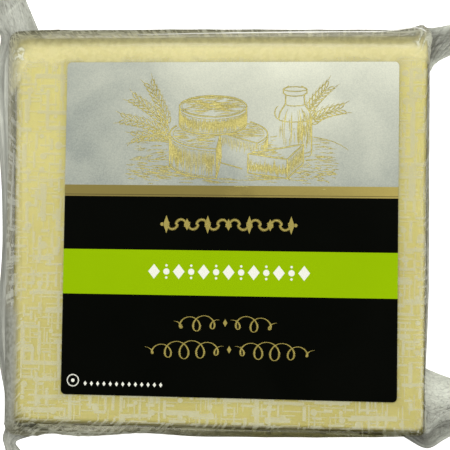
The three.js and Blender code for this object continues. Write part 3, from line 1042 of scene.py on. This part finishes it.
inks = {
    # two tones that mottle it, roughness, metallic, specular level, how strong its grain is, and how its
    # painted sheen leans, a painted reflection in its colour: what it starts from at bottom left, and what
    # is added to the right, upwards and towards the top right
    "black": (("#020301", "#070805"), 0.34, 0.0, 0.02, 0.25, (-0.18, 0.19, 0.0, 0.0)),
    "lime": (("#8aae00", "#91b600"), 0.42, 0.0, 0.02, 0.25, (-0.18, 0.19, 0.0, 0.0)),
    "gold": (("#7f7238", "#c2b05f"), 0.4, 0.2, 0.2, 0.25, (-0.9, 0.94, 0.0, 0.0)),
    "goldDark": (("#574d25", "#7d7036"), 0.42, 0.2, 0.2, 0.25, (-0.81, 0.85, 0.0, 0.0)),
    "silver": (("#90968d", "#dfe0ca"), 0.38, 0.1, 0.2, 0.52, (-0.51, 0.02, 0.03, 0.59)),
    "gilt": (("#94863f", "#a69850"), 0.4, 0.2, 0.2, 0.25, (0.0, 0.0, 0.0, 0.0)),
    "giltPale": (("#8a7a34", "#e2d888"), 0.4, 0.2, 0.2, 1.2, (-0.45, 0.0, 0.0, 0.0)),
    "white": (("#e0e0d0", "#eaeadc"), 0.45, 0.0, 0.2, 0.25, (0.0, 0.0, 0.0, 0.0)),
}

# x in mm between which the sheen grows to the right, for the silver and for the rest, and the same upwards
sheenAcross = {"silver": (-42, 26), "rest": (-42, 46)}
sheenUp = (10, 44)


def inkMaterial(name):
    # printed and varnished paper: even colour but for a sheen painted into it, a soft satin shine and a
    # faint tooth
    tones, rough, metal, specular, grain, (start, rightward, upward, cornerward) = inks[name]
    material, tree = newMaterial("varnishedPaper" + name[0].upper() + name[1:])
    place, axes = objectPlace(tree)
    clouds = noise(tree, place, 46.0, 3.0, distortion=0.6)[0]
    # paper tooth of about 0.3 mm
    tooth = noise(tree, place, 3200.0, 2.0)[0]
    mixed = timesPlus(tree, tooth, grain, ramp(tree, clouds, 0.3, 0.7, 0.33, 0.67))
    across = ramp(tree, axes[0], *(x * mm for x in sheenAcross.get(name, sheenAcross["rest"])))
    up = ramp(tree, axes[1], *(y * mm for y in sheenUp))
    leaning = reckon(tree, "ADD", mixed, start)
    for share, gain in ((across, rightward), (up, upward), (times(tree, across, up), cornerward)):
        leaning = timesPlus(tree, share, gain, leaning)
    surface = addNode(tree, "ShaderNodeBsdfPrincipled", {
        "Base Color": blend(tree, ramp(tree, leaning, 0.1, 1.1), *tones), "Roughness": rough,
        "Metallic": metal,
        "Specular IOR Level": specular, "Normal": bumpOf(tree, clouds, 0.15, 0.001)})
    setSurface(tree, surface.outputs[0])
    return material


inkMaterials = {name: inkMaterial(name) for name in inks}


def makeLabel():
    clearSelection()
    middle = (*label["centre"], label["lowest"])
    bpy.ops.mesh.primitive_plane_add(size=1, location=[c * mm for c in middle])
    sheet = bpy.context.object
    sheet.scale = (label["width"] * mm, label["height"] * mm, 1)
    bpy.ops.object.transform_apply(location=True, rotation=False, scale=True)
    bpy.ops.object.mode_set(mode="EDIT")
    bpy.ops.mesh.select_all(action="SELECT")
    bpy.ops.mesh.bevel(offset=label["corner"] * mm, segments=8, affect="VERTICES")
    foot = label["centre"][1] - label["height"] / 2
    for end, _ in label["bands"][:-1]:
        bpy.ops.mesh.select_all(action="SELECT")
        bpy.ops.mesh.bisect(plane_co=(0, (foot + end) * mm, 0), plane_no=(0, 1, 0))
    bpy.ops.object.mode_set(mode="OBJECT")
    names = list(dict.fromkeys(ink for _, ink in label["bands"]))
    for name in names:
        sheet.data.materials.append(inkMaterials[name])
    for face in sheet.data.polygons:
        height = face.center.y / mm - foot
        face.material_index = names.index(next(name for end, name in label["bands"] if height < end))
    thicken(sheet, label["thickness"], 1)
    settle(sheet, "label_sheet", "label", "label")


makeLabel()
print("stage: label")


# Drawings on the label: pen strokes of raised ink, each a line of x, y and width in millimetres

inkLayer = {
    "middle": label["lowest"] + label["thickness"] + 0.012,  # height of the ink's own middle
    "flatness": 0.14,  # how high a stroke stands for its width
    "plate": 0.04,  # thickness of a filled shape
}


def layStrokes(name, strokes, ink, bodySlot, filled=()):
    # strokes become flattened tubes and filled shapes thin plates, all in one mesh
    lines = [[((x * mm, y * mm, 0), width / 2) for x, y, width in stroke] for stroke in strokes]
    drawing = tubes(name, lines, 1, 0, inkMaterials[ink])
    drawing.scale.z = inkLayer["flatness"]
    bpy.ops.object.transform_apply(location=False, rotation=False, scale=True)
    plates = []
    for outline in filled:
        clearSelection()
        bpy.ops.mesh.primitive_circle_add(vertices=len(outline), radius=mm, fill_type="NGON")
        plate = bpy.context.object
        for vertex, (x, y) in zip(plate.data.vertices, outline):
            vertex.co = (x * mm, y * mm, 0)
        plate.data.update()
        thicken(plate, inkLayer["plate"], 0)
        plate.data.materials.append(inkMaterials[ink])
        plates.append(plate)
    onlySelect(drawing)
    for plate in plates:
        plate.select_set(True)
    if plates:
        bpy.ops.object.join()
    drawing.location.z = inkLayer["middle"] * mm
    settle(drawing, name, bodySlot)


def penLine(points, width, taper=0.35, seed=None, shake=0.03):
    # a stroke along points, thinner at its ends and, with a seed, with a small tremble of the hand
    draw = np.random.default_rng(seed) if seed is not None else None
    count = len(points)
    stroke = []
    for i, (x, y) in enumerate(points):
        share = i / max(count - 1, 1)
        swell = taper + (1 - taper) * math.sin(math.pi * share) ** 0.6
        dx, dy = draw.normal(0, shake, 2) if draw is not None else (0, 0)
        stroke.append((x + dx, y + dy, width * swell))
    return stroke


def arc(cx, cy, rx, ry, start, end, count=24):
    # points on part of an ellipse, angles in degrees
    turns = np.radians(np.linspace(start, end, count))
    return [(cx + rx * math.cos(a), cy + ry * math.sin(a)) for a in turns]


def bulge(x, cx, rx, ry):
    # how far an ellipse reaches up or down from its middle at x
    return ry * math.sqrt(max(0, 1 - ((x - cx) / rx) ** 2))


def lineBetween(a, b, count=6):
    return [tuple(p + (q - p) * k / (count - 1) for p, q in zip(a, b)) for k in range(count)]


def partWay(a, b, share):
    return tuple(p + (q - p) * share for p, q in zip(a, b))


still = {
    # cut cheeses and a churn on a board among wheat, drawn about their own middle
    "middle": (3.0, 26.6),
    "pen": 0.34,
    "seed": 5,
    # centre of the top, half axes and height
    "wheel": (-3.0, -0.6, 12.5, 3.9, 7.6),
    "smallWheel": (-4.5, 6.4, 8.6, 2.7, 4.6),
    "notch": (268, 322),  # the angles between which a wedge is cut out
    # the churn's outline from its foot up: half width and height
    "churn": [(4.2, 0.0), (4.3, 1.0), (4.2, 9.0), (3.7, 10.8), (2.4, 12.8), (2.3, 15.2), (3.0, 15.6),
              (3.0, 16.6), (1.6, 17.4)],
    "churnFoot": (16.4, -5.8),
    # centre and half axes of two hills behind, and how many strokes of stubble
    "hills": [(-8, -6.5, 20, 7.0), (16, -7.0, 15, 6.0)],
    "stubble": 420,
    # root, crown and bend of each ear
    "wheat": [((-13, -8), (-24.5, 8.0), 2.0), ((-14, -8), (-20.5, 11.5), 1.0),
              ((-12, -8.4), (-27, 3.0), 2.6),
              ((17, -3), (24.4, 11.0), -1.2), ((18, -5), (27.6, 5.6), -2.4), ((-12, -8), (-24, -1.5), 3.0)],
    # the wedge's tip, back and side on the table, and its height
    "wedge": ((4.6, -10.6), (18.6, -8.2), (14.6, -12.0)),
    "wedgeHeight": 4.9,
    "tableStrokes": 460,
}


def stillLife():
    draw = np.random.default_rng(still["seed"])
    strokes = []

    def line(points, width=1.0, taper=0.35):
        # the width is a share of the pen's
        strokes.append(penLine(points, still["pen"] * width, taper, int(draw.integers(10 ** 6))))

    def hideBehind(inside):
        # cuts away what has been drawn where a new thing stands in front
        kept = []
        for stroke in strokes:
            piece = []
            for point in stroke:
                if inside(point[0], point[1]):
                    if len(piece) > 1:
                        kept.append(piece)
                    piece = []
                else:
                    piece.append(point)
            if len(piece) > 1:
                kept.append(piece)
        strokes[:] = kept

    def field():
        # low hills, and stubble in short level strokes that thins out upwards
        for hill in still["hills"]:
            line(arc(*hill, 158, 22, 40), 0.7, 0.5)
        for _ in range(still["stubble"]):
            x, rise = draw.uniform(-24, 26), draw.uniform(0, 1) ** 1.6
            crest = max(bulge(x, -8, 20, 7.0), bulge(x, 16, 15, 6.0) - 0.5)
            y, reach = -7.5 + rise * (crest + 0.8), draw.uniform(0.4, 1.6)
            line([(x - reach, y - 0.04), (x, y + 0.05), (x + reach, y)], 0.56)

    def ear(root, crown, bend):
        # a bent stem of wheat, with a pair of grains and their beards at each point of its upper half
        points = []
        for k in range(14):
            swing = math.sin(math.pi * k / 13)
            x, y = partWay(root, crown, k / 13)
            points.append((x + bend * swing * 0.8, y + abs(bend) * swing * 0.9))
        line(points, 0.9, 0.6)
        for k in range(6, 14):
            x, y = points[k]
            ahead = np.array(points[min(k + 1, 13)]) - np.array(points[k - 1])
            heading = math.atan2(ahead[1], ahead[0])
            for side in (1, -1):
                lean = heading + side * 0.5
                aside = heading + side * 1.57
                ox, oy = x + 0.35 * math.cos(aside), y + 0.35 * math.sin(aside)
                grain = []
                for a in np.linspace(0, math.tau, 10):
                    along, across = 0.85 * (1 - math.cos(a)), 0.36 * math.sin(a)
                    grain.append((ox + along * math.cos(lean) - across * math.sin(lean),
                                  oy + along * math.sin(lean) + across * math.cos(lean)))
                line(grain, 0.8, 0.7)
                tip = (ox + 1.6 * math.cos(lean), oy + 1.6 * math.sin(lean))
                far = lean - side * 0.2
                line(lineBetween(tip, (tip[0] + 1.7 * math.cos(far), tip[1] + 1.7 * math.sin(far)), 3), 0.5)

    def churn():
        fx, fy = still["churnFoot"]
        outline = still["churn"]
        halves, heights = zip(*outline)

        def half(h):
            return np.interp(h, heights, halves)

        def inChurn(x, y):
            return -1.0 < y - fy < heights[-1] and abs(x - fx) < half(y - fy)

        hideBehind(inChurn)
        for side in (-1, 1):
            line([(fx + side * w, fy + h) for w, h in outline], 1.1, 0.8)
        for h, depth in ((0.0, 0.9), (1.0, 0.9), (9.0, 0.8), (12.8, 0.5), (15.4, 0.55), (16.6, 0.55)):
            line(arc(fx, fy + h, half(h), depth, 180, 360, 18), 0.8, 0.7)
        line(arc(fx, fy + 16.6, half(16.6), 0.6, 0, 180, 18), 0.8, 0.7)
        for side, start in ((-1, 100), (1, -80)):
            line(arc(fx + side * 4.0, fy + 10.6, 1.1, 1.7, start, start + 180, 12), 0.9)
        for _ in range(110):
            share = draw.uniform(-0.9, 1.0)
            start, end = sorted(draw.uniform(1.2, 12.4, 2))
            if share < 0.15 and draw.uniform() < 0.6:
                continue
            drop = 0.7 * math.sqrt(1 - share * share)
            line([(fx + share * half(h), fy + h - drop) for h in np.linspace(start, end, 6)], 0.62)

    def wheel(cx, cy, rx, ry, tall, notch=None):
        # a whole cheese on its side, cut open between the notch's two angles if it has one
        first, last = notch or (270, 270)

        def inWheel(x, y):
            return abs(x - cx) < rx and cy - tall - bulge(x, cx, rx, ry) < y < cy + bulge(x, cx, rx, ry)

        def rim(angle, drop=0.0, scale=1.0):
            turn = math.radians(angle)
            return cx + rx * scale * math.cos(turn), cy + ry * scale * math.sin(turn) - drop

        hideBehind(inWheel)
        line(arc(cx, cy, rx, ry, last, first + 360, 60), 1.2, 0.7)
        line(arc(cx, cy, rx * 0.93, ry * 0.9, last + 5, first + 355, 60), 0.6)
        for start, end in ((180, first), (last, 360)):
            for drop, width in ((tall, 1.3), (tall - 0.5, 0.6), (0.7, 0.6)):
                line(arc(cx, cy - drop, rx, ry, start, end, 30), width, 0.7)
        for angle in (180, 360):
            line(lineBetween(rim(angle), rim(angle, tall)), 1.2, 0.8)
        # hatching, upright on the rind and closer together in the shade at the right
        angle = 183.0
        while angle < 358:
            if not first - 2 < angle < last + 2 or notch is None:
                start = draw.uniform(0.5, 1.4)
                deep = tall * draw.uniform(0.4, 1.0)
                line(lineBetween(rim(angle, start), rim(angle, min(start + deep, tall - 0.25)), 4), 0.7)
            angle += 1.7 if angle < 250 else 1.1
        for _ in range(int(24 * rx)):
            angle, scale = draw.uniform(last + 14, first + 346), draw.uniform(0.1, 0.88)
            x, y = rim(angle, 0, scale)
            reach = draw.uniform(0.5, 1.6)
            line([(x - reach, y - 0.1), (x, y), (x + reach, y + 0.08)], 0.62)
        if notch is None:
            return
        heart = (cx + 0.6, cy + 0.2)
        deepHeart = (heart[0], heart[1] - tall)
        for angle in (first, last):
            line(lineBetween(rim(angle), rim(angle, tall)), 1.2, 0.8)
            line(lineBetween(heart, rim(angle)), 1.1, 0.8)
            line(lineBetween(deepHeart, rim(angle, tall)), 1.0, 0.8)
        line(lineBetween(heart, deepHeart), 1.2, 0.8)
        for k in range(24):
            for angle, slope, deepest in ((first, 0.9, 0.95), (last, -0.7, 0.5)):
                x, y = partWay(heart, rim(angle), (k + 0.6) / 24.5)
                deep = tall * draw.uniform(0.3, deepest)
                line(lineBetween((x, y - 0.3), (x + slope * 0.4, y - deep), 4), 0.66)

    tip, back, side = still["wedge"]
    tall = still["wedgeHeight"]

    def raised(point):
        return point[0], point[1] + tall

    def inWedge(x, y):
        outline = [tip, side, back, raised(back), raised(tip)]
        crossed = False
        for (ax, ay), (bx, by) in zip(outline, outline[1:] + outline[:1]):
            if (ay > y) != (by > y) and x < (bx - ax) * (y - ay) / (by - ay) + ax:
                crossed = not crossed
        return crossed

    def wedge():
        # the piece that came out, lying in front on the right
        hideBehind(inWedge)
        highTip, highSide, highBack = (raised(point) for point in (tip, side, back))
        for a, b in ((tip, side), (side, back), (highTip, highSide), (highSide, highBack),
                     (highTip, highBack), (tip, highTip), (side, highSide), (back, highBack)):
            line(lineBetween(a, b), 1.2, 0.8)
        for k in range(56):
            x, y = partWay(tip, side, (k + 0.5) / 56)
            start = draw.uniform(0.2, 1.2)
            line(lineBetween((x, y + start), (x, y + start + tall * draw.uniform(0.3, 0.7)), 4), 0.66)
        for k in range(15):
            x, y = partWay(side, back, (k + 0.5) / 15)
            line(lineBetween((x, y + 0.3), (x, y + tall - 0.4), 4), 0.75)
        # flecks on its upper face
        for _ in range(80):
            a, b = sorted(draw.uniform(0.05, 0.95, 2))
            x = tip[0] + (side[0] - tip[0]) * a + (back[0] - side[0]) * (b - a)
            y = tip[1] + (side[1] - tip[1]) * a + (back[1] - side[1]) * (b - a) + tall
            line([(x - 0.5, y), (x, y + 0.05), (x + 0.5, y + 0.1)], 0.55)

    def table():
        # long level strokes, closer together in the shade under the cheese
        for _ in range(still["tableStrokes"]):
            y = -10.3 + draw.normal(0, 1.3)
            x = draw.uniform(-26, 27)
            reach = draw.uniform(0.5, 3.0) * (1 - abs(x) / 40)
            line([(x - reach + 2 * reach * k / 5, y + 0.06 * math.sin(k)) for k in range(6)], 0.56)

    def underCheese(x, y):
        cx, cy, rx, ry, deep = still["wheel"]
        return abs(x - cx) < rx and y > cy - deep - bulge(x, cx, rx, ry) or inWedge(x, y)

    field()
    for root, crown, bend in still["wheat"]:
        ear(root, crown, bend)
    churn()
    wheel(*still["wheel"], still["notch"])
    wheel(*still["smallWheel"])
    wedge()
    standing = strokes[:]
    strokes.clear()
    table()
    hideBehind(underCheese)
    mx, my = still["middle"]
    return [[(x + mx, y + my, w) for x, y, w in stroke] for stroke in strokes + standing]


def lozenge(x, y, halfWide, halfHigh):
    return [(x - halfWide, y), (x, y - halfHigh), (x + halfWide, y), (x, y + halfHigh)]


def disc(x, y, radius, count=20):
    return arc(x, y, radius, radius, 0, 360 * (count - 1) / count, count)


chain = {"middle": (2.9, 2.75), "pitch": 5.3, "repeats": 6, "pen": 0.78}


def scrollChain():
    # S scrolls between lozenges, as on old printers' borders
    strokes, plates = [], []
    mx, my = chain["middle"]
    count, pitch = chain["repeats"], chain["pitch"]
    for i in range(count):
        x = mx + (i - (count - 1) / 2) * pitch
        flip = 1 if i < count / 2 else -1
        curl = []
        for k in range(40):
            share = k / 39 * 2 - 1
            turn = share * 3.9
            reach = 1.5 * (1 - 0.45 * abs(share))
            side = math.copysign(1, share)
            curl.append((x + flip * (side * 1.3 - side * reach * math.cos(abs(turn))),
                         my + side * reach * math.sin(abs(turn))))
        strokes.append(penLine(curl, chain["pen"], 0.5))
    for i in range(count + 1):
        x = mx + (i - count / 2) * pitch
        plates.append(lozenge(x, my, 0.8, 2.3 if i % 2 == 0 else 1.5))
    for side in (-1, 1):
        x = mx + side * (count / 2 * pitch + 1.1)
        plates.append(disc(x, my, 0.45))
    return strokes, plates


row = {"middle": (3.1, -9.3), "pitch": 3.18, "repeats": 12}


def lozengeRow():
    plates = []
    mx, my = row["middle"]
    for i in range(row["repeats"] + 1):
        x = mx + (i - row["repeats"] / 2) * row["pitch"]
        if i % 2 == 0:
            plates.append(lozenge(x, my, 1.5, 1.9))
        else:
            plates.append(disc(x, my, 0.8))
            for side in (-1, 1):
                plates.append(disc(x, my + side * 1.55, 0.32, 12))
    return plates


def flourish(mx, my, wide, high, loops):
    # one swash of the pen and its mirror image, meeting at a small lozenge
    strokes = []
    for side in (-1, 1):
        swash = []
        for k in range(110):
            share = k / 109
            turn = share * loops * math.tau
            reach = high / 2 * (0.35 + 0.65 * math.sin(math.pi * min(share * 1.1, 1)) ** 0.8)
            x = 1.4 + share * (wide / 2 - 1.4) + 1.25 * reach * math.sin(turn) * 0.62
            y = reach * math.cos(turn) * 0.85 - 0.1 * high * share
            swash.append((mx + side * x, my + y))
        strokes.append(thickAndThin(swash, 0.2, 0.55))
    return strokes, [lozenge(mx, my, 0.55, 0.95)]


def thickAndThin(points, thin, thick):
    # a broad nib: strokes that go down are thick, those that go across thin
    points = np.array(points)
    heading = np.gradient(points, axis=0)
    down = np.abs(heading[:, 1]) / np.maximum(np.linalg.norm(heading, axis=1), 1e-9)
    ends = np.minimum(1, np.minimum(np.arange(len(points)), np.arange(len(points))[::-1]) / 8 + 0.3)
    widths = (thin + (thick - thin) * down ** 2) * ends
    return [(x, y, w) for (x, y), w in zip(points, widths)]


def makeDrawings():
    layStrokes("label_still_life", stillLife(), "giltPale", "foil")
    strokes, plates = scrollChain()
    layStrokes("label_scroll_chain", strokes, "gilt", "foil", plates)
    layStrokes("label_lozenge_row", [], "white", "label", lozengeRow())
    upper, upperPlates = flourish(2.4, -22.1, 26.2, 4.6, 3.0)
    lower, lowerPlates = flourish(3.5, -28.8, 43.0, 5.4, 5.0)
    layStrokes("label_flourishes", upper + lower, "gilt", "foil", upperPlates + lowerPlates)
    ring = penLine(arc(-36.4, -37.4, 1.45, 1.45, 0, 360, 40), 0.32, 1.0)
    plates = [disc(-36.4, -37.4, 0.45)]
    plates += [lozenge(-33.2 + k * 1.62, -38.1, 0.42, 0.62) for k in range(13)]
    layStrokes("label_small_marks", [ring], "white", "label", plates)


makeDrawings()
print("stage: drawings on the label")
